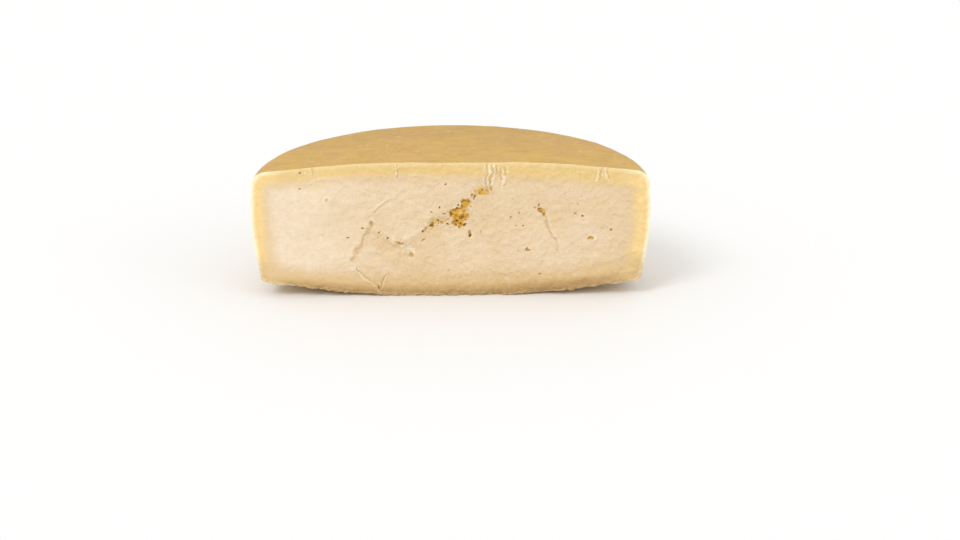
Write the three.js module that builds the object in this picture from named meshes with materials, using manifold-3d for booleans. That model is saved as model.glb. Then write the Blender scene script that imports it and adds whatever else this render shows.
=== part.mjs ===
// Half a wheel of firm cheese, cut straight down through its middle and standing on its flat base.
// Millimetres, +Z up. The origin is the middle of the footprint's box, on the resting plane.
// The cut face looks along -Y, and the wheel's own axis lies in it, at x = 0.
import * as THREE from "three";
import { mergeVertices } from "three/addons/utils/BufferGeometryUtils.js";
import Module from "manifold-3d";

// Overall sizes of the whole wheel.
const DIAMETER = 360;
const HEIGHT = 126;

// Top: level in the middle, then falling gently to the shoulder.
const TOP_LEVEL_RADIUS = 83;
const TOP_FALL = 9;
const TOP_SOFTNESS = 34;

// Shoulder: the rounded edge between the top and the side.
const SHOULDER_INSET = 3;
const SHOULDER_SOFTNESS = 12;

// Side: upright at its widest band, leaning in above and below it.
const BAND_BELOW_SHOULDER = 26;
const BAND_SOFTNESS_TOP = 14;
const BAND_ABOVE_FOOT = 48;
const BAND_SOFTNESS_FOOT = 24;

// Foot: the rounded edge between the side and the underside.
const FOOT_INSET = 6.5;
const FOOT_RISE = 13.5;
const FOOT_SOFTNESS = 7;

// Base: flat where the cheese stands, then rising to the foot.
const BASE_RADIUS = 106;
const BASE_SOFTNESS = 16;

// Fineness of the solid.
const STEPS_ROUND_WHEEL = 96;
const STEPS_PER_CORNER = 5;

const PASTE_COLOUR = 0xe9d6a6;
const PASTE_ROUGHNESS = 0.55;

const radius = DIAMETER / 2;

const wasm = await Module();
wasm.setup();

// The corners of the wheel's section, from the top of its axis down to the foot of it.
// Each has a radius, a height and how far along both neighbouring edges its rounding reaches.
function sectionCorners() {
  const shoulderHeight = HEIGHT - TOP_FALL;
  return [
    { r: 0, z: HEIGHT, soft: 0 },
    { r: TOP_LEVEL_RADIUS, z: HEIGHT, soft: TOP_SOFTNESS },
    { r: radius - SHOULDER_INSET, z: shoulderHeight, soft: SHOULDER_SOFTNESS },
    { r: radius, z: shoulderHeight - BAND_BELOW_SHOULDER, soft: BAND_SOFTNESS_TOP },
    { r: radius, z: FOOT_RISE + BAND_ABOVE_FOOT, soft: BAND_SOFTNESS_FOOT },
    { r: radius - FOOT_INSET, z: FOOT_RISE, soft: FOOT_SOFTNESS },
    { r: BASE_RADIUS, z: 0, soft: BASE_SOFTNESS },
    { r: 0, z: 0, soft: 0 },
  ];
}

// The section as points: straight edges joined by rounded corners.
// A rounding reaches at most half way along the shorter edge beside it.
function sectionOutline() {
  const corners = sectionCorners();
  const at = corners.map((c) => new THREE.Vector2(c.r, c.z));
  const points = [at[0]];
  for (let i = 1; i < corners.length - 1; i++) {
    const before = at[i - 1].clone().sub(at[i]);
    const after = at[i + 1].clone().sub(at[i]);
    const reach = Math.min(corners[i].soft, before.length() / 2, after.length() / 2);
    const rounding = new THREE.QuadraticBezierCurve(
      at[i].clone().add(before.setLength(reach)),
      at[i],
      at[i].clone().add(after.setLength(reach)),
    );
    points.push(...rounding.getPoints(STEPS_PER_CORNER));
  }
  points.push(at[at.length - 1]);
  return points;
}

// A closed geometry as a manifold solid. Triangles that have shrunk to a line, as at a
// lathe's poles, are left out.
function solidOf(geometry) {
  const bare = new THREE.BufferGeometry();
  bare.setAttribute("position", geometry.getAttribute("position"));
  bare.setIndex(geometry.getIndex());
  const merged = mergeVertices(bare, 1e-4);
  const index = merged.getIndex().array;
  const kept = [];
  for (let i = 0; i < index.length; i += 3) {
    const [a, b, c] = index.slice(i, i + 3);
    if (a !== b && b !== c && c !== a) kept.push(a, b, c);
  }
  return new wasm.Manifold(
    new wasm.Mesh({
      numProp: 3,
      vertProperties: new Float32Array(merged.getAttribute("position").array),
      triVerts: new Uint32Array(kept),
    }),
  );
}

// A manifold solid as a geometry.
function geometryOf(solid) {
  const mesh = solid.getMesh();
  const geometry = new THREE.BufferGeometry();
  geometry.setAttribute("position", new THREE.BufferAttribute(mesh.vertProperties, 3));
  geometry.setIndex(new THREE.BufferAttribute(mesh.triVerts, 1));
  geometry.computeVertexNormals();
  return geometry;
}

// The whole wheel, standing on z = 0 with its axis on the Z axis.
function wholeWheel() {
  const wheel = new THREE.LatheGeometry(sectionOutline().reverse(), STEPS_ROUND_WHEEL);
  wheel.rotateX(Math.PI / 2);
  return solidOf(wheel);
}

// The block that the knife takes away: everything in front of the wheel's axis.
function cutAway() {
  const block = new THREE.BoxGeometry(2 * DIAMETER, DIAMETER, 2 * HEIGHT);
  block.translate(0, -DIAMETER / 2, HEIGHT / 2);
  return solidOf(block);
}

const halfWheel = new THREE.Mesh(
  geometryOf(wholeWheel().subtract(cutAway())),
  new THREE.MeshStandardMaterial({
    color: PASTE_COLOUR,
    roughness: PASTE_ROUGHNESS,
    metalness: 0,
  }),
);
halfWheel.name = "half_wheel";
halfWheel.position.set(0, -radius / 2, 0);

const cheese = new THREE.Group();
cheese.add(halfWheel);

export default cheese;
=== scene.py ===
"""Half a wheel of firm pressed cheese, cut down through its middle and standing on a pale floor.

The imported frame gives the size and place. The wheel's own axis is upright in the cut face, the
cut face looks along -Y, and every length is in metres.
"""

import logging
import math
import random
from collections.abc import Sequence
from dataclasses import dataclass, field
from enum import Enum

import bmesh
import bpy
import numpy as np
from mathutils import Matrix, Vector, noise
from mathutils.kdtree import KDTree

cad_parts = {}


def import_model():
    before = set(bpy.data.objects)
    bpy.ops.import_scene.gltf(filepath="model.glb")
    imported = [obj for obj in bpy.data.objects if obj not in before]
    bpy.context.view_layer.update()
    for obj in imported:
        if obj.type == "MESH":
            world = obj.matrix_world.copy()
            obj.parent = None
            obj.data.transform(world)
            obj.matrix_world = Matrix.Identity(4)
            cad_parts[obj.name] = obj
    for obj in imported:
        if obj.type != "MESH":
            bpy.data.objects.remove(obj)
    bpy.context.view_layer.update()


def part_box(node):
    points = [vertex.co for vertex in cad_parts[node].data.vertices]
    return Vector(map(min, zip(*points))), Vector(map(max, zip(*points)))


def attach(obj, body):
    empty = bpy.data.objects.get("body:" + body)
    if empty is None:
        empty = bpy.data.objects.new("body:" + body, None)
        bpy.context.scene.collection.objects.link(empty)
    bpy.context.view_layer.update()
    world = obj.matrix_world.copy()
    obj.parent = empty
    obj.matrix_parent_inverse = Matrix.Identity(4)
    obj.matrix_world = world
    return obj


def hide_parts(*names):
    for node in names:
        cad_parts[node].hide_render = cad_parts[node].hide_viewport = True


MM = 0.001
BODY = "root"
NODE = "half_wheel"
PIECE = "cheese_half"

log = logging.getLogger("cheese")

Colour = tuple[float, float, float]
Place = tuple[float, float]  # across from -1 to 1 and up from 0 to 1, in shares of the cut face


class Zone(Enum):
    """The two finishes of the cheese, as material indices of its mesh."""

    PASTE = 0
    RIND = 1


class Side(Enum):
    """Which side of a line, walked from its first point to its last, stands proud."""

    LEFT = 1.0
    RIGHT = -1.0


# --------------------------------------------------------------------------- helpers


def smooth(low: float, high: float, value: np.ndarray) -> np.ndarray:
    """An even S-shaped step from 0 where a value is low to 1 where it is high, rising or falling."""
    share = np.clip((value - low) / (high - low), 0.0, 1.0)
    return share * share * (3.0 - 2.0 * share)


def mm(*values: float) -> list[float]:
    """Lengths given in millimetres, in metres."""
    return [value * MM for value in values]


def put(name: str, data: bpy.types.ID) -> bpy.types.Object:
    """Puts a new object in the scene.

    Args:
        name: Its name.
        data: Its mesh, light or camera.

    Returns:
        The object.
    """
    made = bpy.data.objects.new(name, data)
    bpy.context.scene.collection.objects.link(made)
    return made


def put_shape(name: str, shape: bmesh.types.BMesh) -> bpy.types.Object:
    """Puts a finished shape in the scene.

    Args:
        name: Its name.
        shape: The shape, which is freed.

    Returns:
        The object.
    """
    mesh = bpy.data.meshes.new(name)
    shape.to_mesh(mesh)
    shape.free()
    return put(name, mesh)


@dataclass(frozen=True)
class Unevenness:
    """Soft random unevenness in a few layers, each half as big and strong as the one before.

    The pitch is the size of one ripple along X, Y and Z, and the seed shifts the pattern.
    """

    pitch: tuple[float, float, float]
    seed: float
    layers: int
    strength: float = 1.0

    def over(self, points: np.ndarray) -> np.ndarray:
        """The unevenness of each point, mostly between minus and plus the strength."""
        scaled = points / np.array(self.pitch) + self.seed
        return np.array([noise.fractal(p, 1.0, 2.0, self.layers) for p in scaled]) * self.strength


GRIT = Unevenness((2.6 * MM, 1.0, 2.6 * MM), 43.3, 3)
PATCHES = Unevenness((7 * MM, 1.0, 7 * MM), 37.7, 3)
SWAY_ACROSS = Unevenness((6 * MM,) * 3, 3.1, 4, 1.5 * MM)
SWAY_UP = Unevenness((6 * MM,) * 3, 8.7, 4, 1.5 * MM)
KNIFE_WAVES = Unevenness((30 * MM, 1.0, 50 * MM), 5.5, 3, 0.9 * MM)
KNIFE_DRAG = Unevenness((3.4 * MM, 1.0, 40 * MM), 9.5, 2, 0.12 * MM)
PASTE_LUMPS = Unevenness((9 * MM, 1.0, 8 * MM), 12.5, 4, 0.6 * MM)
PASTE_CREASES = Unevenness((26 * MM, 1.0, 20 * MM), 33.5, 2)
FOOT_CRUMBS = Unevenness((2.6 * MM, 1.0, 2.2 * MM), 23.5, 3, 1.4 * MM)
FOOT_CHIPS = Unevenness((15 * MM, 1.0, 30 * MM), 29.5, 2, 3.0 * MM)
FOOT_SHREDS = Unevenness((3.0 * MM, 1.0, 60 * MM), 49.5, 3, 1.2 * MM)
RIND_WARP = Unevenness((110 * MM,) * 3, 15.5, 2, 0.5 * MM)
RIND_DIMPLES = Unevenness((24 * MM,) * 3, 19.5, 3, 0.3 * MM)


# --------------------------------------------------------------------------- the shape


@dataclass(frozen=True)
class Corner:
    """A corner of the wheel's section.

    Its rounding reaches `soft` along both neighbouring edges, at most half way.
    """

    radius: float
    height: float
    soft: float


@dataclass(frozen=True)
class Stretch:
    """A smooth run of the section's outline, which can be walked by share of its length."""

    points: list[Vector]

    def at(self, share: float) -> Vector:
        """The point that lies at a share of the way along.

        Args:
            share: From 0 at the first point to 1 at the last.

        Returns:
            The point, as (radius, height).
        """
        steps = [(b - a).length for a, b in zip(self.points, self.points[1:])]
        left = share * sum(steps)
        for i, step in enumerate(steps):
            if left <= step or i == len(steps) - 1:
                return self.points[i].lerp(self.points[i + 1], left / step)
            left -= step
        return self.points[-1]


@dataclass(frozen=True)
class Section:
    """The wheel's section from its axis outwards, with the sizes of the solid that it dresses."""

    radius: float
    height: float
    top_level_radius: float = 83 * MM
    top_fall: float = 9 * MM
    top_softness: float = 34 * MM
    shoulder_inset: float = 3 * MM
    shoulder_softness: float = 12 * MM
    band_below_shoulder: float = 26 * MM
    band_softness_top: float = 14 * MM
    band_above_foot: float = 48 * MM
    band_softness_foot: float = 24 * MM
    foot_inset: float = 6.5 * MM
    foot_rise: float = 13.5 * MM
    foot_softness: float = 7 * MM
    base_radius: float = 106 * MM
    base_softness: float = 16 * MM
    steps_per_corner: int = 12
    shoulder_corner: int = 2
    foot_corner: int = 5

    def corners(self) -> list[Corner]:
        """The corners from the top of the axis to the foot of it."""
        shoulder = self.height - self.top_fall
        return [
            Corner(0.0, self.height, 0.0),
            Corner(self.top_level_radius, self.height, self.top_softness),
            Corner(self.radius - self.shoulder_inset, shoulder, self.shoulder_softness),
            Corner(self.radius, shoulder - self.band_below_shoulder, self.band_softness_top),
            Corner(self.radius, self.foot_rise + self.band_above_foot, self.band_softness_foot),
            Corner(self.radius - self.foot_inset, self.foot_rise, self.foot_softness),
            Corner(self.base_radius, 0.0, self.base_softness),
            Corner(0.0, 0.0, 0.0),
        ]

    def stretches(self) -> tuple[Stretch, Stretch, Stretch]:
        """The outline in three runs that meet in the middle of the shoulder and of the foot.

        Returns:
            The top from the axis outwards, the side downwards, and the underside inwards.
        """
        corners = self.corners()
        at = [Vector((c.radius, c.height)) for c in corners]
        runs: list[list[Vector]] = [[at[0]]]
        for i in range(1, len(corners) - 1):
            before, after = at[i - 1] - at[i], at[i + 1] - at[i]
            reach = min(corners[i].soft, before.length / 2, after.length / 2)
            start, end = at[i] + before.normalized() * reach, at[i] + after.normalized() * reach
            for step in range(self.steps_per_corner + 1):
                t = step / self.steps_per_corner
                point = start.lerp(at[i], t).lerp(at[i].lerp(end, t), t)
                runs[-1].append(point)
                if step == self.steps_per_corner // 2 and i in (self.shoulder_corner, self.foot_corner):
                    runs.append([point])
        runs[-1].append(at[-1])
        top, side, under = runs
        return Stretch(top), Stretch(side), Stretch(under)


# --------------------------------------------------------------------------- marks in the cut face


@dataclass
class Face:
    """The cut face as its marks see it: where its points are, and what the marks do to them."""

    across: np.ndarray
    up: np.ndarray
    half_width: float
    height: float
    grit: np.ndarray = field(init=False)
    patchy: np.ndarray = field(init=False)
    inward: np.ndarray = field(init=False)
    hollow: np.ndarray = field(init=False)
    crumb: np.ndarray = field(init=False)
    sunk: np.ndarray = field(init=False)

    def __post_init__(self) -> None:
        """Works out the texture and starts with no mark on any point."""
        spots = np.stack([self.across, np.zeros_like(self.across), self.up], axis=1)
        self.grit, self.patchy = GRIT.over(spots), PATCHES.over(spots)
        self.inward, self.hollow, self.crumb, self.sunk = np.zeros((4, len(self.across)))

    def metres(self, place: Place) -> tuple[float, float]:
        """A place in metres across from the axis and up from the base."""
        return place[0] * self.half_width, place[1] * self.height

    def line(self, points: Sequence[Place]) -> tuple[np.ndarray, np.ndarray]:
        """How the face's points lie to a line through a few places.

        Args:
            points: The places, in order.

        Returns:
            Each point's distance from the line, positive to its left, and how far along the
            line its nearest place is, as a share from 0 to 1.
        """
        knots = [self.metres(p) for p in points]
        lengths = [math.dist(a, b) for a, b in zip(knots, knots[1:])]
        best = np.full(len(self.across), np.inf)
        signed, share, walked = np.zeros_like(best), np.zeros_like(best), 0.0
        for (ax, az), (bx, bz), length in zip(knots, knots[1:], lengths):
            dx, dz = (bx - ax) / length, (bz - az) / length
            along = np.clip((self.across - ax) * dx + (self.up - az) * dz, 0.0, length)
            px, pz = self.across - ax - along * dx, self.up - az - along * dz
            gap = np.hypot(px, pz)
            closer = gap < best
            best = np.where(closer, gap, best)
            signed = np.where(closer, np.copysign(gap, dx * pz - dz * px), signed)
            share = np.where(closer, (walked + along) / sum(lengths), share)
            walked += length
        return signed, share

    def within(self, points: Sequence[Place]) -> np.ndarray:
        """Which of the face's points lie in a closed outline.

        Args:
            points: The outline's corners, in order.

        Returns:
            True for each point inside.
        """
        knots = [self.metres(p) for p in points]
        inside = np.zeros(len(self.across), dtype=bool)
        for (ax, az), (bx, bz) in zip(knots, [*knots[1:], knots[0]]):
            if az == bz:
                continue
            crosses = (az > self.up) != (bz > self.up)
            inside ^= crosses & (self.across < (bx - ax) * (self.up - az) / (bz - az) + ax)
        return inside


@dataclass(frozen=True)
class Crack:
    """A split in the paste: a rough groove of changing width, with one lip proud."""

    points: tuple[Place, ...]
    width: float
    depth: float
    lip: float
    proud: Side
    brown: float
    crumbly: float
    broken: float
    swell: tuple[float, ...] = (0.5, 1.0, 1.0, 0.5)

    def press(self, face: Face) -> None:
        """Presses the crack into the face.

        Args:
            face: The face that is marked.
        """
        signed, share = face.line(self.points)
        width = self.width * np.interp(share, np.linspace(0.0, 1.0, len(self.swell)), self.swell)
        ends = smooth(0.0, 0.06, share) * smooth(1.0, 0.94, share)
        gap = ends * (1.0 - self.broken * smooth(-0.1, 0.5, face.patchy))
        groove = smooth(1.15, 0.0, np.abs(signed) / width + 0.35 * face.grit) * gap
        lip = np.exp(-((signed * self.proud.value / width - 1.1) / 0.6) ** 2) * ends
        lip = lip * (0.75 + 0.5 * face.patchy)
        face.inward += groove * self.depth - lip * self.lip
        # partly painted shade: the groove is browned along its middle
        face.hollow = np.maximum(face.hollow, groove * self.brown)
        face.crumb = np.maximum(face.crumb, lip * self.crumbly)


@dataclass(frozen=True)
class Slab:
    """A part of the face that broke off a little deeper than the rest, along a line.

    It is deepest at the line and rises back to the face far from it. The line and the far
    corners go round it.
    """

    line: tuple[Place, ...]
    far: tuple[Place, ...]
    depth: float
    reach: float
    wall: float = 4.6 * MM

    def press(self, face: Face) -> None:
        """Lowers the slab.

        Args:
            face: The face that is marked.
        """
        signed, share = face.line(self.line)
        inner = np.abs(signed)
        drop = smooth(0.0, self.wall, inner) * np.exp(-inner / self.reach) * smooth(0.0, 0.1, share)
        drop = np.where(face.within((*self.line, *self.far)), drop, 0.0)
        face.inward += drop * self.depth
        # sunk: how far into the slab, used to tint it yellower, partly its own tone and partly painted
        # shade
        face.sunk = np.maximum(face.sunk, drop * smooth(0.6, 0.3, share))


@dataclass(frozen=True)
class Eye:
    """A hole that gas left in the paste, with steep walls and an uneven floor."""

    place: Place
    width: float
    height: float
    depth: float
    brown: float
    lean: float = 0.0
    halo: float = 0.0

    def press(self, face: Face) -> None:
        """Sinks the eye into the face.

        Args:
            face: The face that is marked.
        """
        x, z = face.metres(self.place)
        dx, dz = face.across - x, face.up - z
        c, s = math.cos(self.lean), math.sin(self.lean)
        reach = np.hypot((dx * c + dz * s) / (self.width / 2), (dz * c - dx * s) / (self.height / 2))
        reach = reach + 0.3 * face.grit
        hole = smooth(1.2, 0.3, reach)
        rim = np.exp(-((reach - 1.5) / 0.4) ** 2) * smooth(-0.5, 0.4, face.patchy)
        face.inward += hole * self.depth - rim * self.halo * 0.35 * MM
        # partly painted shade: the hole browns towards its middle
        face.hollow = np.maximum(face.hollow, smooth(1.3, 0.4, reach) * self.brown)
        face.crumb = np.maximum(face.crumb, rim * self.halo)


@dataclass(frozen=True)
class Nest:
    """A torn group of eyes that ran together along a line, golden brown inside."""

    points: tuple[Place, ...]
    width: float
    count: int
    sizes: Sequence[float]
    depth: float
    seed: int
    brown: float
    gold: float

    def press(self, face: Face) -> None:
        """Tears the group open.

        Args:
            face: The face that is marked.
        """
        signed, share = face.line(self.points)
        across = np.abs(signed) / (self.width / 2)
        body = smooth(1.25, 0.35, across + 0.6 * face.grit + 0.5 * face.patchy)
        body = body * smooth(0.0, 0.1, share) * smooth(1.0, 0.9, share)
        face.inward += body * self.depth * (0.4 + 0.5 * face.grit)
        stain = smooth(3.4, 0.8, across + 0.8 * face.patchy) * 0.15
        golden = body * self.gold * (1.0 - 0.4 * face.grit)
        face.hollow = np.maximum(face.hollow, np.maximum(stain, golden))
        chance = random.Random(self.seed)
        knots = [face.metres(p) for p in self.points]
        for _ in range(self.count):
            start = chance.randrange(len(knots) - 1)
            (ax, az), (bx, bz), t = knots[start], knots[start + 1], chance.random()
            x = ax + (bx - ax) * t + chance.gauss(0.0, self.width / 4)
            z = az + (bz - az) * t + chance.gauss(0.0, self.width / 4)
            size = chance.uniform(*self.sizes)
            place = (x / face.half_width, z / face.height)
            tall = size * chance.uniform(0.6, 1.3)
            Eye(place, size, tall, size * 0.55, self.brown * chance.uniform(0.65, 1.25),
                chance.uniform(-0.8, 0.8), 0.3).press(face)


@dataclass(frozen=True)
class Tear:
    """A strip of paste that the knife pulled up into shreds, which run along the strip."""

    low: Place
    high: Place
    width: float
    height: float
    shred: float
    white: float
    gold: float

    def press(self, face: Face) -> None:
        """Roughens the strip.

        Args:
            face: The face that is marked.
        """
        signed, share = face.line((self.low, self.high))
        inside = smooth(self.width / 2, self.width / 4, np.abs(signed) + 0.3 * self.width * face.patchy)
        inside = inside * smooth(0.0, 0.25, share + 0.15 * face.patchy) * smooth(1.0, 0.9, share)
        shreds = np.sin(2 * math.pi * signed / self.shred + 1.5 * face.patchy + 1.3 * face.grit)
        whole = smooth(-0.75, 0.1, face.grit + 0.5 * face.patchy)
        face.inward -= inside * shreds * whole * self.height
        face.crumb = np.maximum(face.crumb, inside * smooth(-0.3, 1.0, shreds) * whole * self.white)
        # partly painted shade: golden in the troughs between the shreds
        face.hollow = np.maximum(face.hollow, inside * smooth(0.1, -0.9, shreds) * self.gold)


@dataclass(frozen=True)
class Chip:
    """A shallow crumbly place where a bit of paste broke away, paler than the rest."""

    place: Place
    width: float
    height: float
    depth: float
    white: float

    def press(self, face: Face) -> None:
        """Breaks the chip out.

        Args:
            face: The face that is marked.
        """
        x, z = face.metres(self.place)
        reach = np.hypot((face.across - x) / (self.width / 2), (face.up - z) / (self.height / 2))
        inside = smooth(1.2, 0.6, reach + 0.5 * face.grit)
        face.inward += inside * self.depth * (0.6 + 1.2 * face.grit)
        face.crumb = np.maximum(face.crumb, inside * self.white * smooth(-0.45, 0.35, face.grit))


Mark = Crack | Slab | Eye | Nest | Tear | Chip


@dataclass(frozen=True)
class CutMarks:
    """Everything that the knife and the curing left in the cut face, at listed places."""

    pinhole_seed: int = 7
    pinholes: int = 26
    pinhole_sizes: tuple[float, float] = (0.9 * MM, 1.7 * MM)

    def fissure(self) -> list[Mark]:
        """The slab that sank below the eyes, and the split down its left side to the lower edge."""
        seam = ((0.0, 0.583), (-0.065, 0.571), (-0.106, 0.541), (-0.143, 0.494), (-0.194, 0.437),
                (-0.246, 0.395), (-0.286, 0.41), (-0.321, 0.437), (-0.359, 0.485), (-0.397, 0.549))
        split = ((-0.392, 0.565), (-0.404, 0.52), (-0.432, 0.46), (-0.458, 0.385), (-0.486, 0.32),
                 (-0.51, 0.25))
        flap = ((-0.48, 0.235), (-0.468, 0.185), (-0.422, 0.128), (-0.372, 0.062), (-0.352, 0.0))
        notch = ((-0.335, 0.16), (-0.352, 0.09), (-0.356, 0.04))
        right = ((0.47, 0.64), (0.485, 0.52), (0.53, 0.41), (0.545, 0.3))
        left_edge = (*seam, *split[1:], *flap[2:], (-0.35, -0.3))
        return [
            Slab(left_edge, ((0.3, -0.3), (0.3, 0.58)), 1.2 * MM, 36 * MM),
            Crack(seam[2:-1], *mm(2.8, 0.4, 0.4), Side.RIGHT, 0.16, 0.4, 0.8,
                  (1.0, 0.7, 1.0, 1.3, 0.6, 1.2, 0.8)),
            Crack(split, *mm(3.6, 1.1, 0.3), Side.RIGHT, 0.35, 0.2, 0.3,
                  (1.2, 1.0, 0.6, 0.8, 1.1, 0.9, 0.5)),
            Eye((-0.399, 0.545), *mm(4.6, 5.4, 1.1), 0.4, 0.3, 0.5),
            Crack(flap, *mm(1.6, 0.9, 0.7), Side.RIGHT, 0.3, 0.6, 0.3),
            Crack(notch, *mm(1.3, 0.7, 0.5), Side.LEFT, 0.28, 0.5, 0.2),
            Slab(right, ((0.8, 0.3), (0.8, 0.64)), 0.9 * MM, 20 * MM),
            Crack(right, *mm(2.6, 0.9, 0.4), Side.LEFT, 0.32, 0.3, 0.5,
                  (0.6, 1.0, 0.6, 1.1, 0.6)),
        ]

    def folds(self) -> list[Mark]:
        """The folds that the knife smeared into the paste."""
        lines = (
            (0.9, ((-0.72, 0.83), (-0.65, 0.865), (-0.57, 0.865), (-0.5, 0.815), (-0.44, 0.77),
                   (-0.4, 0.75))),
            (0.8, ((-0.25, 0.88), (-0.167, 0.893), (-0.06, 0.85), (0.0, 0.8))),
            (0.5, ((-0.42, 0.66), (-0.37, 0.68), (-0.33, 0.74))),
            (0.4, ((-0.85, 0.2), (-0.75, 0.24), (-0.68, 0.33))),
            (0.5, ((0.52, 0.85), (0.6, 0.87), (0.7, 0.8), (0.78, 0.74))),
            (0.5, ((0.2, 0.24), (0.26, 0.16), (0.29, 0.05))),
            (0.7, ((0.28, 0.74), (0.35, 0.69), (0.39, 0.6))),
            (0.4, ((0.62, 0.22), (0.7, 0.27), (0.8, 0.25))),
            (0.4, ((-0.7, 0.74), (-0.67, 0.69), (-0.7, 0.66), (-0.725, 0.7))),
        )
        scarp = ((-0.225, 0.8), (-0.235, 0.777), (-0.285, 0.73), (-0.335, 0.69), (-0.37, 0.655),
                 (-0.4, 0.62))
        return [
            Crack(scarp, *mm(2.6, 0.8, 0.8), Side.RIGHT, 0.12, 0.4, 0.15,
                  (0.7, 1.2, 1.0, 0.8, 0.6)),
            *(Crack(line, *mm(2.8, 0.5 * k, 0.7 * k), Side.LEFT, 0.08, 0.3 * k, 0.4) for k, line in lines),
        ]

    def eyes(self) -> list[Mark]:
        """The torn group of eyes near the middle, and the single ones round it."""
        middle = ((0.012, 0.66), (0.022, 0.6), (0.03, 0.56), (0.065, 0.555))
        upper = ((0.05, 0.565), (0.068, 0.62), (0.072, 0.68), (0.095, 0.73))
        tail_up = ((0.1, 0.74), (0.13, 0.775), (0.19, 0.8))
        tail_left = ((-0.01, 0.578), (-0.055, 0.575), (-0.09, 0.553), (-0.115, 0.53))
        small = ((0.43, 0.67), (0.47, 0.62))
        # place, then width, height and depth in millimetres, then how brown inside (partly painted shade),
        # its lean and its halo
        single = (
            ((0.03, 0.565), (3.4, 2.4, 2.0), 0.8, 0.4, 0.2),
            ((0.066, 0.54), (3.4, 2.6, 2.4), 0.82, 0.3, 0.2),
            ((0.052, 0.68), (2.2, 3.6, 1.6), 0.72, 0.2, 0.2),
            ((0.09, 0.475), (4.4, 6.4, 2.0), 0.52, 0.5, 0.6),
            ((0.096, 0.452), (2.8, 2.6, 2.2), 0.86, 0.3, 0.3),
            ((0.2, 0.815), (4.0, 5.0, 1.4), 0.5, 0.2, 0.4),
            ((-0.065, 0.567), (2.6, 2.2, 2.2), 0.85, 0.0, 0.0),
            ((-0.015, 0.543), (3.4, 2.0, 2.2), 0.8, -0.4, 0.0),
            ((-0.105, 0.535), (4.5, 3.0, 0.9), 0.3, 0.8, 0.0),
            ((-0.143, 0.494), (3.0, 2.4, 2.0), 0.9, 0.5, 0.3),
            ((-0.262, 0.402), (8.0, 3.2, 1.7), 0.5, -0.35, 0.6),
            ((-0.265, 0.37), (13, 9, 0.7), 0.15, -0.2, 0.0),
            ((-0.206, 0.31), (3.8, 6.0, 1.7), 0.42, 0.2, 0.1),
            ((-0.23, 0.385), (2.4, 7.0, 0.6), 0.2, 0.5, 0.5),
            ((-0.37, 0.05), (3.0, 5.0, 1.6), 0.55, 0.4, 0.0),
            ((0.7, 0.43), (6.5, 3.4, 1.9), 0.55, 0.4, 0.5),
            ((0.385, 0.35), (3.4, 4.2, 1.8), 0.5, 0.2, 0.6),
            ((-0.446, 0.514), (3.0, 2.6, 1.8), 0.86, 0.2, 0.4),
            ((-0.622, 0.73), (3.6, 3.4, 0.7), 0.26, 0.0, 0.7),
        )
        return [
            Nest(middle, 11 * MM, 20, mm(2.0, 4.2), 1.9 * MM, 3, 0.62, 0.54),
            Nest(upper, 9 * MM, 13, mm(1.8, 4.0), 1.8 * MM, 5, 0.58, 0.54),
            Nest(tail_up, 8 * MM, 9, mm(1.5, 3.0), 0.9 * MM, 8, 0.44, 0.42),
            Nest(tail_left, 8 * MM, 16, mm(1.4, 2.9), 1.2 * MM, 13, 0.64, 0.37),
            Nest(small, 6 * MM, 8, mm(1.4, 3.0), 1.3 * MM, 21, 0.55, 0.4),
            Chip((0.12, 0.6), *mm(9, 12, 0.8), 0.3),
            Chip((-0.214, 0.33), *mm(14, 16, 1.1), 0.8),
            *(Eye(place, *mm(*size), *looks) for place, size, *looks in single),
        ]

    def small_eyes(self) -> list[Mark]:
        """The pinholes: some where they show most, and the rest scattered."""
        known = [
            (-0.028, 0.838), (-0.058, 0.67), (-0.097, 0.632), (-0.035, 0.622), (-0.52, 0.449),
            (-0.36, 0.484), (-0.322, 0.435), (0.3, 0.6), (0.36, 0.53), (0.62, 0.62), (0.66, 0.6),
            (0.45, 0.16), (0.8, 0.5),
        ]
        chance = random.Random(self.pinhole_seed)
        low, high = self.pinhole_sizes
        holes: list[Mark] = [
            Eye(place, chance.uniform(1.8, 2.6) * MM, chance.uniform(1.6, 2.2) * MM, 1.6 * MM,
                chance.uniform(0.65, 0.9))
            for place in known
        ]
        for _ in range(self.pinholes):
            place = (chance.uniform(-0.85, 0.85), chance.uniform(0.16, 0.88))
            size = chance.uniform(low, high)
            holes.append(Eye(place, size, size * chance.uniform(0.7, 1.3), size * 0.8, 0.5))
        return holes

    def tears(self) -> list[Mark]:
        """The strips that the knife pulled up, the chips, and the drag marks on the slab."""
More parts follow.
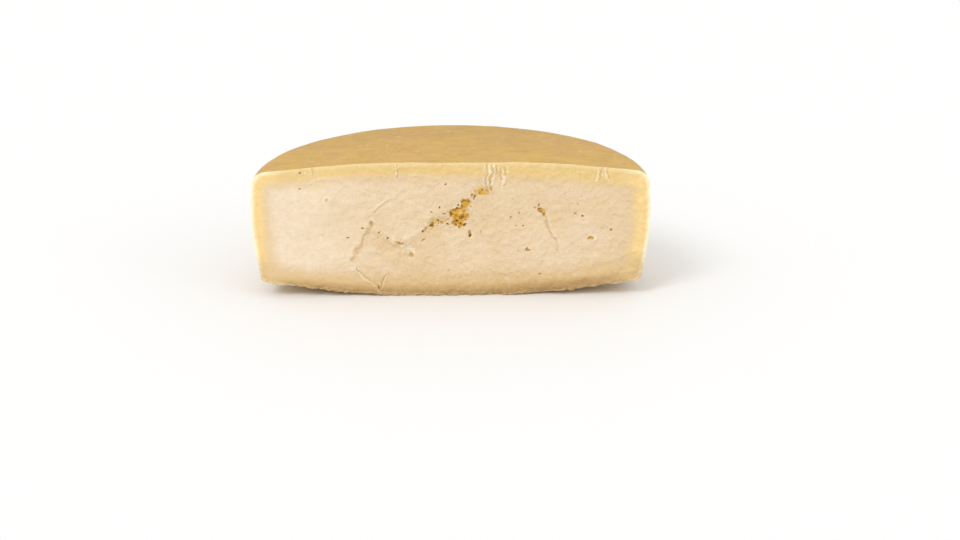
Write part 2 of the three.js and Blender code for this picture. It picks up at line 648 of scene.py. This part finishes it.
        # low end, high end, then width, height and shred in millimetres, then how white and how gold
        strips = (
            ((-0.268, 0.85), (-0.268, 1.0), (4.4, 0.4, 4.0), 0.9, 0.24),
            ((-0.283, 0.52), (-0.285, 0.63), (2.6, 0.3, 2.6), 0.8, 0.0),
            ((-0.69, 0.88), (-0.69, 0.98), (3.6, 0.3, 3.6), 0.3, 0.3),
            ((-0.66, 0.84), (-0.66, 0.99), (1.8, 0.25, 3.6), 0.6, 0.1),
            ((0.185, 0.78), (0.2, 1.0), (14, 0.4, 4.4), 0.8, 0.36),
            ((0.262, 0.8), (0.266, 0.98), (9, 0.35, 4.2), 0.6, 0.4),
            ((0.725, 0.84), (0.748, 0.98), (6, 0.4, 4.4), 0.9, 0.32),
            ((0.787, 0.84), (0.764, 0.98), (6, 0.4, 4.4), 0.9, 0.32),
            ((-0.04, 0.25), (-0.04, 0.52), (36, 0.14, 2.6), 0.12, 0.0),
            ((-0.3, 0.08), (-0.27, 0.36), (30, 0.1, 3.2), 0.06, 0.0),
            ((0.56, 0.1), (0.58, 0.22), (16, 0.25, 2.6), 0.2, 0.0),
        )
        return [
            Chip((-0.735, 0.93), *mm(10, 6.5, 1.2), 1.0),
            Eye((-0.745, 0.925), *mm(2.4, 2.2, 1.4), 0.5),
            Chip((-0.51, 0.215), *mm(7, 7, 0.9), 0.9),
            Chip((-0.357, 0.03), *mm(6, 6, 0.9), 0.8),
            *(Tear(low, high, *mm(*size), *looks) for low, high, size, *looks in strips),
        ]

    def all(self) -> list[Mark]:
        """Every mark, in the order that they are pressed."""
        return [*self.fissure(), *self.folds(), *self.eyes(), *self.small_eyes(), *self.tears()]


# --------------------------------------------------------------------------- shader maths


class Signal:
    """One output of a shader node, which Python's arithmetic works on."""

    def __init__(self, graph: "Graph", socket: bpy.types.NodeSocket) -> None:
        """Wraps an output socket of a material's graph."""
        self.graph = graph
        self.socket = socket

    def _math(self, operation: str, first: "Signal | float", second: "Signal | float") -> "Signal":
        """The result of a new Math node."""
        return self.graph.node("ShaderNodeMath", {"operation": operation}, {0: first, 1: second})

    def __add__(self, other: "Signal | float") -> "Signal":
        """self + other."""
        return self._math("ADD", self, other)

    __radd__ = __add__

    def __sub__(self, other: "Signal | float") -> "Signal":
        """self - other."""
        return self._math("SUBTRACT", self, other)

    def __rsub__(self, other: float) -> "Signal":
        """other - self."""
        return self._math("SUBTRACT", other, self)

    def __mul__(self, other: "Signal | float") -> "Signal":
        """self * other."""
        return self._math("MULTIPLY", self, other)

    __rmul__ = __mul__

    def size(self) -> "Signal":
        """This value without its sign."""
        return self.graph.node("ShaderNodeMath", {"operation": "ABSOLUTE"}, {0: self})

    def step(self, low: float, high: float) -> "Signal":
        """An even S-shaped step of this value.

        Args:
            low: Where the step starts.
            high: Where it is complete. It may lie below low, for a falling step.

        Returns:
            The step, from 0 to 1.
        """
        down = high < low
        limits = {1: min(low, high), 2: max(low, high), 3: float(down), 4: float(not down)}
        return self.graph.node(
            "ShaderNodeMapRange", {"interpolation_type": "SMOOTHSTEP"}, {0: self, **limits}
        )


class Graph:
    """The node graph of one material with a Principled surface."""

    def __init__(self, name: str) -> None:
        """Starts a material.

        Args:
            name: The material's name.
        """
        self.material = bpy.data.materials.new(name)
        self.material.use_nodes = True
        self.tree = self.material.node_tree
        self.surface = self.tree.nodes["Principled BSDF"]
        self.place = self.node("ShaderNodeTexCoord", {}, {}, "Object")

    def node(
        self,
        kind: str,
        settings: dict[str, object],
        inputs: dict[int | str, "Signal | float | Sequence[float]"],
        output: int | str = 0,
    ) -> Signal:
        """Adds a node.

        Args:
            kind: The node's type.
            settings: Its properties, set first.
            inputs: Values or links for its input sockets, by name or number.
            output: The output that is wanted, by name or number.

        Returns:
            That output.
        """
        made = self.tree.nodes.new(kind)
        for name, value in settings.items():
            setattr(made, name, value)
        for name, value in inputs.items():
            if isinstance(value, Signal):
                self.tree.links.new(value.socket, made.inputs[name])
            else:
                made.inputs[name].default_value = value
        return Signal(self, made.outputs[output])

    def part(self, vector: Signal, axis: str) -> Signal:
        """A vector's X, Y or Z."""
        return self.node("ShaderNodeSeparateXYZ", {}, {0: vector}, axis)

    def attribute(self, name: str) -> Signal:
        """A value that the mesh holds at its points."""
        return self.node("ShaderNodeAttribute", {"attribute_name": name}, {}, "Fac")

    def cloud(self, pitch: float, detail: float = 3.0, rough: float = 0.5, seed: float = 0.0,
              stretch: Sequence[float] = (1.0, 1.0, 1.0)) -> Signal:
        """Soft noise in the piece's own coordinates.

        Args:
            pitch: The size of one blotch.
            detail: How many finer layers it has.
            rough: How strong the finer layers are.
            seed: Shifts the pattern.
            stretch: How many times longer a blotch is along X, Y and Z.

        Returns:
            The noise, from 0 to 1 and mostly near 0.5.
        """
        scale = tuple(1.0 / (pitch * s) for s in stretch)
        spot = self.node("ShaderNodeMapping", {}, {
            "Vector": self.place, "Location": (seed, seed, seed), "Scale": scale,
        })
        return self.node("ShaderNodeTexNoise", {}, {
            "Vector": spot, "Scale": 1.0, "Detail": detail, "Roughness": rough,
        })

    def blend(self, share: "Signal | float", first: "Signal | Colour", second: "Signal | Colour") -> Signal:
        """Mixes two colours, with a share of the second."""
        a, b = ((*c, 1.0) if isinstance(c, tuple) else c for c in (first, second))
        return self.node("ShaderNodeMix", {"data_type": "RGBA"}, {0: share, 6: a, 7: b}, 2)

    def paint(self, base: "Signal | Colour", *coats: tuple["Signal | float", "Signal | Colour"]) -> Signal:
        """Lays colours over one another.

        Args:
            base: The lowest colour.
            *coats: How much there is of each further colour, and that colour.

        Returns:
            The colour that shows.
        """
        for share, colour in coats:
            base = self.blend(share, base, colour)
        return base

    def relief(self, *layers: tuple[Signal, float]) -> Signal:
        """Lays bumps over one another.

        Args:
            *layers: Each height, from 0 to 1, and how far a height of 1 reaches.

        Returns:
            The normal of the bumpy surface.
        """
        under = {}
        for height, distance in layers:
            sockets = {"Height": height, "Distance": distance, **under}
            under = {"Normal": self.node("ShaderNodeBump", {}, sockets)}
        return under["Normal"]

    def feed(self, **values: "Signal | float | Sequence[float]") -> bpy.types.Material:
        """Sets the surface's sockets. An underscore in a name stands for a space.

        Args:
            **values: The value or link of each socket.

        Returns:
            The finished material.
        """
        for name, value in values.items():
            socket = self.surface.inputs[name.replace("_", " ")]
            if isinstance(value, Signal):
                self.tree.links.new(value.socket, socket)
            else:
                socket.default_value = value
        return self.material


# --------------------------------------------------------------------------- finishes


@dataclass(frozen=True)
class PasteFinish:
    """The cut paste: cream inside, a yellow band under the rind, and golden brown in its holes. It also
    holds painted light: a painted highlight along the cut edge, a paler left end and a yellower middle,
    painted shade low on the face and on the sunk slab, and painted shade that darkens holes and grooves.
    """

    cream: Colour = (0.755, 0.592, 0.390)
    blush: Colour = (0.820, 0.672, 0.495)
    # pale: painted light, used to make the left end of the face paler
    pale: Colour = (0.860, 0.722, 0.548)
    straw: Colour = (0.735, 0.535, 0.290)
    band: Colour = (0.790, 0.568, 0.235)
    side_band: Colour = (0.888, 0.645, 0.280)
    # rim: a painted highlight, the pale strip where the cut edge catches the light
    rim: Colour = (0.950, 0.890, 0.610)
    # low: yellower tan low on the face, partly the paste turning to rind at the base and partly painted
    # shade
    low: Colour = (0.690, 0.480, 0.225)
    # foot: dark tan at the lower edge, partly the rind's own colour at the base and partly painted shade of
    # the underside
    foot: Colour = (0.470, 0.290, 0.115)
    # soft, gold, brown and pit: colours in grooves and holes, partly the paste's own golden colour and
    # partly painted shade that darkens the deeper parts
    soft: Colour = (0.640, 0.455, 0.235)
    gold: Colour = (0.690, 0.395, 0.048)
    brown: Colour = (0.370, 0.200, 0.038)
    pit: Colour = (0.150, 0.092, 0.026)
    chalk: Colour = (0.920, 0.850, 0.670)

    def material(self, middle: Vector, radius: float) -> bpy.types.Material:
        """Makes the finish.

        Args:
            middle: The foot of the wheel's axis.
            radius: The wheel's radius.

        Returns:
            The material.
        """
        g = Graph("cut_paste")
        skin, hollow = g.attribute("skin_depth"), g.attribute("hollow")
        wander = g.cloud(16 * MM, 4.0, 0.55, 3.0) - 0.5
        high = g.part(g.place, "Z") - middle.z + wander * (10 * MM)
        across = g.part(g.place, "X") - middle.x
        end = across.size().step(radius * 0.80, radius * 0.96)
        depth = skin + wander * (7 * MM) - across.step(0.0, radius * 0.5) * (3.5 * MM)
        patch = g.cloud(36 * MM, 3.0, 0.55, 11.0).step(0.36, 0.6)
        fine = g.cloud(6 * MM, 5.0, 0.65, 17.0).step(0.35, 0.68)
        # under: the lower part of the face, which gets the painted shade below
        under = high.step(44 * MM, 26 * MM)
        inner = 1.0 - across.size().step(radius * 0.66, radius * 0.92) * 0.55
        shaded = 1.0 - under * 0.6
        body = g.paint(
            self.cream,
            (patch, self.blush),
            # painted light: paler towards the left end of the face and yellower from there inwards, a
            # painted lighting gradient across the cut
            (across.step(radius * -0.45, radius * -0.7) * 0.55, self.pale),
            (across.step(radius * -0.62, radius * -0.4) * 0.36, self.straw),
            # partly the slab's own tone, partly painted shade: the sunk slab tinted yellower
            (g.attribute("sunk").step(0.1, 0.8) * 0.5, self.straw),
            (fine * 0.30, self.straw),
            # partly the paste's own colour near the base, partly painted shade: yellower tan low on the
            # face
            (under * depth.step(30 * MM, 9 * MM) * (inner * 0.6 + 0.4), self.low),
            (depth.step(24 * MM, 11 * MM) * 0.65, self.straw),
            (depth.step(14.5 * MM, 7 * MM) * shaded,
             g.paint(self.band, (end, self.side_band), (fine * 0.24, self.low))),
            # partly the rind's own colour, partly painted shade: dark tan along the lower edge of the cut
            (under * depth.step(15 * MM, 1 * MM) * inner * (1.0 - end * 0.3), self.foot),
            # painted highlight: a pale strip along the cut edge, strongest at the ends and weaker low down
            (skin.step(5 * MM, 0.3 * MM) * (end * 0.65 + 0.22) * shaded, self.rim),
            (g.attribute("crumb") * 0.8, self.chalk),
            # partly own colour, partly painted shade: soft brown in shallow grooves, then gold, brown and a
            # near-black pit colour the deeper a hole or groove is
            (hollow.step(0.05, 0.35) * 0.8, self.soft),
            (hollow.step(0.32, 0.52), self.gold),
            (hollow.step(0.56, 0.8), self.brown),
            (hollow.step(0.8, 1.0), self.pit),
        )
        drag = g.cloud(1.5 * MM, 3.0, 0.6, 5.0, (1.0, 1.0, 14.0))
        grain = g.cloud(1.0 * MM, 4.0, 0.65, 9.0)
        lumps = g.cloud(5.0 * MM, 4.0, 0.55, 13.0) * (across.step(radius * -0.7, radius * -0.3) * 0.5 + 0.5)
        relief = g.relief((lumps, 2.3 * MM), (drag, 0.3 * MM), (grain, 0.25 * MM))
        rough = 0.48 + grain * 0.16
        return g.feed(Base_Color=body, Roughness=rough, Normal=relief, Specular_IOR_Level=0.35,
                      Subsurface_Weight=0.15, Subsurface_Radius=(1.0, 0.62, 0.3),
                      Subsurface_Scale=0.003)


@dataclass(frozen=True)
class RindFinish:
    """The dry natural rind: golden tan, streaked by the shelf boards, with a paler side that is partly
    painted light, and painted shade towards the back of the top.
    """

    tan: Colour = (0.560, 0.342, 0.102)
    gold: Colour = (0.612, 0.390, 0.094)
    rose: Colour = (0.610, 0.358, 0.145)
    # the darker tone of shelf prints, blotches and specks, also used as painted shade towards the back of
    # the top
    dark_marks_and_shade: Colour = (0.400, 0.235, 0.055)
    # side: the paler colour of the upright side, partly its own and partly painted light
    side: Colour = (0.765, 0.550, 0.232)
    scuff: Colour = (0.780, 0.610, 0.340)

    def material(self, middle: Vector, radius: float, height: float) -> bpy.types.Material:
        """Makes the finish.

        Args:
            middle: The foot of the wheel's axis.
            radius: The wheel's radius.
            height: The wheel's height.

        Returns:
            The material.
        """
        g = Graph("natural_rind")
        level = g.part(g.node("ShaderNodeNewGeometry", {}, {}, "Normal"), "Z")
        tall, back = g.part(g.place, "Z") - middle.z, g.part(g.place, "Y") - middle.y
        lying = level.step(0.55, 0.9)
        upright = 1.0 - lying
        spotted = 0.45 + lying * 0.55
        near_top_and_base = tall.step(height * 0.3, 0.0) + tall.step(height * 0.7, height)
        patch = g.cloud(30 * MM, 5.0, 0.65, 21.0, (1.3, 1.0, 1.0)).step(0.36, 0.64)
        warm = g.cloud(22 * MM, 5.0, 0.65, 27.0, (1.5, 1.0, 1.0)).step(0.42, 0.66)
        board = g.cloud(4.0 * MM, 4.0, 0.65, 47.0, (5.0, 1.0, 1.0)).step(0.40, 0.75)
        form = g.cloud(4.2 * MM, 4.0, 0.65, 73.0, (5.0, 5.0, 1.0)).step(0.42, 0.74)
        dull = g.cloud(8 * MM, 5.0, 0.7, 33.0).step(0.45, 0.75)
        speck = g.cloud(1.8 * MM, 4.0, 0.7, 41.0).step(0.48, 0.76)
        body = g.paint(
            self.tan,
            (patch, self.gold),
            (warm * 0.6, self.rose),
            # painted shade: the top made darker towards the back
            (back.step(radius * 0.1, radius * 0.8) * lying * 0.3, self.dark_marks_and_shade),
            (board * lying * 0.34, self.dark_marks_and_shade),
            # partly painted light: the upright side paler than the top, less so near its top and base
            (level.step(0.75, 0.25) * (0.86 - near_top_and_base * 0.3 - patch * 0.16), self.side),
            (form * upright * 0.16, self.dark_marks_and_shade),
            (dull * spotted * 0.34, self.dark_marks_and_shade),
            (speck * spotted * 0.56, self.dark_marks_and_shade),
            (g.cloud(9 * MM, 4.0, 0.6, 57.0).step(0.6, 0.74) * 0.4, self.scuff),
        )
        skin = g.cloud(1.6 * MM, 4.0, 0.6, 61.0)
        dent = g.cloud(9 * MM, 3.0, 0.5, 67.0)
        print_marks = board * lying + form * upright
        relief = g.relief((dent, 1.2 * MM), (print_marks, 0.25 * MM), (skin, 0.35 * MM))
        rough = 0.52 + skin * 0.22 + dull * 0.08
        return g.feed(Base_Color=body, Roughness=rough, Normal=relief, Specular_IOR_Level=0.25,
                      Subsurface_Weight=0.06, Subsurface_Radius=(1.0, 0.6, 0.25),
                      Subsurface_Scale=0.003)


# --------------------------------------------------------------------------- the half wheel


@dataclass
class HalfWheel:
    """The half wheel as one closed piece: a spun rind and a fine cut face that meet in one edge."""

    low: Vector
    high: Vector
    face_across: int = 150
    face_up: int = 52
    spin_steps: int = 110
    edge_round: float = 0.7 * MM
    edge_steps: int = 2
    fine_reach: float = 3.0 * MM
    finest_reach: float = 1.0 * MM
    busy_hollow: float = 0.16
    busy_crumb: float = 0.3
    crumbly_height: float = 3 * MM
    crumbly_rise: float = 13.5 * MM
    crumbly_from: float = 0.59
    crumbly_run: float = 0.37
    crease_depth: float = 0.6 * MM
    foot_lift: float = 3.6 * MM
    foot_worn_back: float = 14 * MM
    foot_shred_lift: float = 0.4 * MM
    outline_steps: int = 250
    tolerance: float = 0.01 * MM
    marks: CutMarks = field(default_factory=CutMarks)
    shape: bmesh.types.BMesh = field(init=False)
    section: Section = field(init=False)

    def __post_init__(self) -> None:
        """Starts an empty shape, and fits the section to the frame's box."""
        self.shape = bmesh.new()
        self.section = Section(self.radius, self.height)

    @property
    def radius(self) -> float:
        """The whole wheel's radius."""
        return (self.high.x - self.low.x) / 2

    @property
    def height(self) -> float:
        """The wheel's height."""
        return self.high.z - self.low.z

    @property
    def axis(self) -> Vector:
        """The foot of the wheel's axis."""
        return Vector(((self.low.x + self.high.x) / 2, self.low.y, self.low.z))

    def build(self) -> bpy.types.Object:
        """Models and dresses the half wheel.

        Returns:
            The finished piece, riding on its body.
        """
        self._cut_face()
        self._rind()
        self._close()
        self._refine()
        self._sculpt()
        return self._dress()

    def _cut_face(self) -> None:
        """Lays an even grid over the cut face."""
        made = bmesh.ops.create_grid(
            self.shape, x_segments=self.face_across, y_segments=self.face_up, size=1.0
        )
        top, side, under = self.section.stretches()
        shares = [((round(v.co.x, 6) + 1) / 2, (round(v.co.y, 6) + 1) / 2) for v in made["verts"]]
        sides = {}
        for s, t in shares:
            for name, run, share in (("top", top, s), ("under", under, s), ("side", side, t)):
                if (name, share) not in sides:
                    sides[name, share] = self._on_edge(name, run, share)
        for vert, (s, t) in zip(made["verts"], shares):
            vert.co = self._patch(s, t, sides)
        for face in self.shape.faces:
            face.material_index = Zone.PASTE.value

    @staticmethod
    def _on_edge(name: str, run: Stretch, share: float) -> Vector:
        """A point on one edge of the cut face.

        Args:
            name: Which edge: top, under or side, which is the right one.
            run: The edge's half of the outline.
            share: From left to right along the top and underside, or up the side.

        Returns:
            The point, as (across, up).
        """
        if name == "side":
            return run.at(1.0 - share)
        out = abs(2.0 * share - 1.0)
        point = run.at(out if name == "top" else 1.0 - out)
        return Vector((math.copysign(point.x, share - 0.5), point.y))

    def _patch(self, s: float, t: float, sides: dict[tuple[str, float], Vector]) -> Vector:
        """A point of the four-sided patch that the face's edges span.

        Args:
            s: The share across, from left to right.
            t: The share up.
            sides: The points on the edges, by edge and share.

        Returns:
            The point in the frame.
        """
        top, under, right = sides["top", s], sides["under", s], sides["side", t]
        left = Vector((-right.x, right.y))
        upper, lower = sides["top", 1.0], sides["under", 1.0]
        flat = under * (1 - t) + top * t + left * (1 - s) + right * s
        for corner, weight in ((lower, 1 - t), (upper, t)):
            flat -= Vector((-corner.x, corner.y)) * ((1 - s) * weight) + corner * (s * weight)
        return self.axis + Vector((flat.x, 0.0, flat.y))

    def _rind(self) -> None:
        """Spins the outline half way round the axis."""
        top, side, under = self.section.stretches()
        half = self.face_across // 2
        runs = [(top, half), (side, self.face_up), (under, half)]
        outline = [top.at(0.0)]
        for run, steps in runs:
            outline += [run.at((i + 1) / steps) for i in range(steps)]
        verts = [self.shape.verts.new(self.axis + Vector((p.x, 0.0, p.y))) for p in outline]
        edges = [self.shape.edges.new(pair) for pair in zip(verts, verts[1:])]
        before = set(self.shape.faces)
        bmesh.ops.spin(
            self.shape, geom=[*verts, *edges], cent=self.axis, axis=(0, 0, 1), angle=math.pi,
            steps=self.spin_steps, use_merge=False,
        )
        for face in self.shape.faces:
            if face not in before:
                face.material_index = Zone.RIND.value

    def _close(self) -> None:
        """Joins rind and face into one closed skin that faces outwards."""
        bmesh.ops.remove_doubles(self.shape, verts=self.shape.verts[:], dist=2 * self.tolerance)
        bmesh.ops.recalc_face_normals(self.shape, faces=self.shape.faces[:])

    def _refine(self) -> None:
        """Makes the face finer where it holds marks, and rounds the cut edge."""
        paste = [f for f in self.shape.faces if f.material_index == Zone.PASTE.value]
        edges = list(dict.fromkeys(e for f in paste for e in f.edges))
        bmesh.ops.subdivide_edges(self.shape, edges=edges, cuts=1, use_grid_fill=True)
        self._finer_near_marks(self.fine_reach, foot=True)
        self._finer_near_marks(self.finest_reach, foot=False)
        rim = [
            e for e in self.shape.edges
            if {f.material_index for f in e.link_faces} == {Zone.PASTE.value, Zone.RIND.value}
        ]
        bmesh.ops.bevel(
            self.shape, geom=rim, offset=self.edge_round, offset_type="OFFSET", affect="EDGES",
            segments=self.edge_steps, profile=0.5, material=-1, clamp_overlap=True,
        )

    def _finer_near_marks(self, reach: float, foot: bool) -> None:
        """Halves the face's mesh near its holes, cracks and shreds.

        Args:
            reach: How near a point has to be to a mark.
            foot: Whether the crumbly strip along the lower edge counts as a mark.
        """
        verts = [v for v in self.shape.verts if abs(v.co.y - self.low.y) < self.tolerance]
        face = self._marked_face(np.array([v.co for v in verts]))
        busy = KDTree(len(verts))
        for i, v in enumerate(verts):
            marked = face.hollow[i] > self.busy_hollow or face.crumb[i] > self.busy_crumb
            if marked or (foot and v.co.z - self.low.z < self._foot_line(v.co.x)):
                busy.insert(v.co, i)
        busy.balance()
        close = {v for v in verts if busy.find(v.co)[2] < reach}
        edges = [
            e for e in self.shape.edges
            if e.verts[0] in close and e.verts[1] in close
            and all(f.material_index == Zone.PASTE.value for f in e.link_faces)
        ]
        bmesh.ops.subdivide_edges(self.shape, edges=edges, cuts=1, use_grid_fill=True)

    def _foot_line(self, x: float) -> float:
        """How high the crumbly strip along the lower edge of the cut reaches at an X."""
        rise = max(0.0, (abs(x - self.axis.x) / self.radius - self.crumbly_from) / self.crumbly_run)
        return self.crumbly_height + self.crumbly_rise * rise

    def _marked_face(self, points: np.ndarray) -> Face:
        """The cut face with all its marks, for a set of points on it.

        Args:
            points: The points.

        Returns:
            The face, with its points swayed a little, so that no mark has a drawn outline.
        """
        across, up = points[:, 0] - self.axis.x, points[:, 2] - self.low.z
        flat = np.stack([across, np.zeros_like(across), up], axis=1)
        face = Face(across + SWAY_ACROSS.over(flat), up + SWAY_UP.over(flat), self.radius, self.height)
        for mark in self.marks.all():
            mark.press(face)
        return face

    def _near(self, points: np.ndarray) -> tuple[np.ndarray, np.ndarray]:
        """How points lie to the wheel's skin.

        Args:
            points: The points.

        Returns:
            How deep each lies under the skin, and which way is out.
        """
        shares = [i / self.outline_steps for i in range(self.outline_steps + 1)]
        outline = [run.at(share) for run in self.section.stretches() for share in shares]
        tree = KDTree(len(outline))
        for i, p in enumerate(outline):
            tree.insert((p.x, p.y, 0.0), i)
        tree.balance()
        depth, out = [], []
        for x, y, z in points - np.array(self.axis):
            _, nearest, gap = tree.find((math.hypot(x, y), z, 0.0))
            i = min(max(nearest, 1), len(outline) - 2)
            along = outline[i + 1] - outline[i - 1]
            away = Vector((-along.y, along.x)).normalized()
            turn = math.atan2(y, x)
            depth.append(gap)
            out.append((away.x * math.cos(turn), away.x * math.sin(turn), away.y))
        return np.array(depth), np.array(out)

    def _sculpt(self) -> None:
        """Moves the points for the marks, the knife's waviness and the rind's unevenness."""
        points = np.array([v.co for v in self.shape.verts])
        depth, out = self._near(points)
        face = self._marked_face(points)
        flat, up = points * np.array([1.0, 0.0, 1.0]), points[:, 2] - self.low.z
        inside = smooth(0.2 * MM, 2.4 * MM, depth)
        on_cut = smooth(self.low.y + 2.5 * MM, self.low.y, points[:, 1])
        rough = smooth(-0.75 * self.radius, -0.3 * self.radius, points[:, 0] - self.axis.x)
        creases = (1.0 - np.abs(PASTE_CREASES.over(flat))) ** 7 * self.crease_depth
        inward = face.inward * (0.25 + 0.75 * inside) + KNIFE_WAVES.over(flat) + KNIFE_DRAG.over(flat)
        inward += (PASTE_LUMPS.over(flat) - creases * inside) * (0.45 + 0.6 * rough)
        inward += self._ragged_foot(flat, depth, up)
        skin = smooth(7 * MM, 0.0, depth) * smooth(0.5 * MM, 6 * MM, up)
        uneven = RIND_WARP.over(points) + RIND_DIMPLES.over(points)
        moved = points + out * (uneven * skin)[:, None]
        moved[:, 1] += inward * on_cut
        moved[:, 2] += self._worn_foot(points, flat, up)
        moved[:, 2] = np.maximum(moved[:, 2], self.low.z)
        values = {
            "skin_depth": depth,
            "hollow": face.hollow * on_cut,
            "crumb": np.minimum(face.crumb, 1.0) * on_cut,
            "sunk": face.sunk,
        }
        layers = [(self.shape.verts.layers.float.new(name), value) for name, value in values.items()]
        for i, vert in enumerate(self.shape.verts):
            vert.co = moved[i]
            for layer, value in layers:
                vert[layer] = value[i]

    def _ragged_foot(self, flat: np.ndarray, depth: np.ndarray, up: np.ndarray) -> np.ndarray:
        """How far the crumbled lower edge of the cut moves inwards at points of this depth and height."""
        low_edge = smooth(6 * MM, 0.0, depth) * smooth(40 * MM, 22 * MM, up)
        return low_edge * (FOOT_CRUMBS.over(flat) + np.maximum(FOOT_CHIPS.over(flat), 0.0))

    def _worn_foot(self, points: np.ndarray, flat: np.ndarray, up: np.ndarray) -> np.ndarray:
        """Lifts the lower edge of the cut clear of the floor on both sides of its middle.

        Args:
            points: The points.
            flat: The points, laid on one plane.
            up: How high each lies above the base.

        Returns:
            How far each point moves up.
        """
        out = np.abs(points[:, 0] - self.axis.x) / self.radius
        lift = smooth(0.22, 0.62, out) * smooth(1.0, 0.72, out) * self.foot_lift
        torn = FOOT_SHREDS.over(flat) + self.foot_shred_lift
        near_cut = smooth(self.low.y + self.foot_worn_back, self.low.y, points[:, 1])
        at_cut = smooth(self.low.y + 4 * MM, self.low.y, points[:, 1]) * smooth(8 * MM, 2 * MM, up)
        lift = lift * near_cut * smooth(26 * MM, 0.0, up)
        return lift + torn * at_cut * smooth(1.0, 0.9, out)

    def _dress(self) -> bpy.types.Object:
        """Turns the shape into a smooth piece with its finishes and its place in the frame.

        Returns:
            The piece.
        """
        bmesh.ops.recalc_face_normals(self.shape, faces=self.shape.faces[:])
        piece = put_shape(PIECE, self.shape)
        piece.data.polygons.foreach_set("use_smooth", [True] * len(piece.data.polygons))
        piece.data.materials.append(PasteFinish().material(self.axis, self.radius))
        piece.data.materials.append(RindFinish().material(self.axis, self.radius, self.height))
        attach(piece, BODY)
        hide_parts(NODE)
        return piece


# --------------------------------------------------------------------------- the studio


@dataclass(frozen=True)
class Lamp:
    """Even light from one side, as from a large soft box far away."""

    name: str
    comes_from: tuple[float, float, float]
    strength: float
    spread: float = math.radians(24)

    def light(self) -> None:
        """Hangs the lamp."""
        data = bpy.data.lights.new(self.name, "SUN")
        data.energy, data.angle = self.strength, self.spread
        lamp = put(self.name, data)
        lamp.location = self.comes_from
        lamp.rotation_euler = Vector(self.comes_from).to_track_quat("Z", "Y").to_euler()


@dataclass
class Studio:
    """A pale floor, soft light from all round and the camera."""

    low: Vector
    high: Vector
    floor_size: float = 40.0
    floor_drop: float = 0.1 * MM
    floor_colour: Colour = (0.825, 0.823, 0.819)
    sky: float = 0.99
    camera_distance: float = 8.0
    camera_pitch: float = math.radians(17.65)
    aim_height: float = 0.555
    aim_right: float = 0.1425
    aim_down: float = 0.238
    lens: float = 59.8
    sensor: float = 36.0

    def build(self) -> None:
        """Sets up the floor, the light and the camera."""
        self._floor()
        self._light()
        self._camera()
        bpy.context.scene.view_settings.view_transform = "Standard"

    def _floor(self) -> None:
        """Lays the floor that the cheese stands on."""
        shape = bmesh.new()
        bmesh.ops.create_grid(shape, x_segments=1, y_segments=1, size=self.floor_size / 2)
        bmesh.ops.translate(shape, verts=shape.verts[:], vec=(0.0, 0.0, self.low.z - self.floor_drop))
        floor = put_shape("floor", shape)
        floor.data.materials.append(Graph("floor").feed(
            Base_Color=(*self.floor_colour, 1.0), Roughness=0.8, Specular_IOR_Level=0.2,
        ))

    def _light(self) -> None:
        """Lights the cheese from all round, from the upper left and, more weakly, from the right."""
        world = bpy.data.worlds.new("sky")
        world.use_nodes = True
        sky = world.node_tree.nodes["Background"].inputs
        sky["Color"].default_value, sky["Strength"].default_value = (1.0, 1.0, 1.0, 1.0), self.sky
        bpy.context.scene.world = world
        Lamp("key", (-0.85, -0.85, 1.25), 0.90).light()
        Lamp("fill", (1.2, -0.8, 0.8), 0.15).light()

    def _camera(self) -> None:
        """Stands the camera in front of the cut, a little above it."""
        radius, height = (self.high.x - self.low.x) / 2, self.high.z - self.low.z
        middle = Vector(((self.low.x + self.high.x) / 2, self.low.y, self.low.z))
        middle.z += height * self.aim_height
        c, s = math.cos(self.camera_pitch), math.sin(self.camera_pitch)
        upward = Vector((0.0, s, c))
        data = bpy.data.cameras.new("camera")
        data.lens, data.sensor_width = self.lens, self.sensor
        camera = put("camera", data)
        camera.location = middle + Vector((0.0, -c, s)) * (self.camera_distance * radius)
        aim = middle + Vector((radius * self.aim_right, 0.0, 0.0)) - upward * (radius * self.aim_down)
        camera.rotation_euler = (aim - camera.location).to_track_quat("-Z", "Y").to_euler()
        bpy.context.scene.camera = camera


# --------------------------------------------------------------------------- making it


def main() -> None:
    """Builds the half wheel and the studio round it."""
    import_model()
    low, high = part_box(NODE)
    piece = HalfWheel(low, high).build()
    log.info("%s: %d points, %d faces", piece.name, len(piece.data.vertices), len(piece.data.polygons))
    Studio(low, high).build()
    log.info("studio: floor, light and camera")


if __name__ == "__main__":
    logging.basicConfig(level=logging.INFO)
    main()
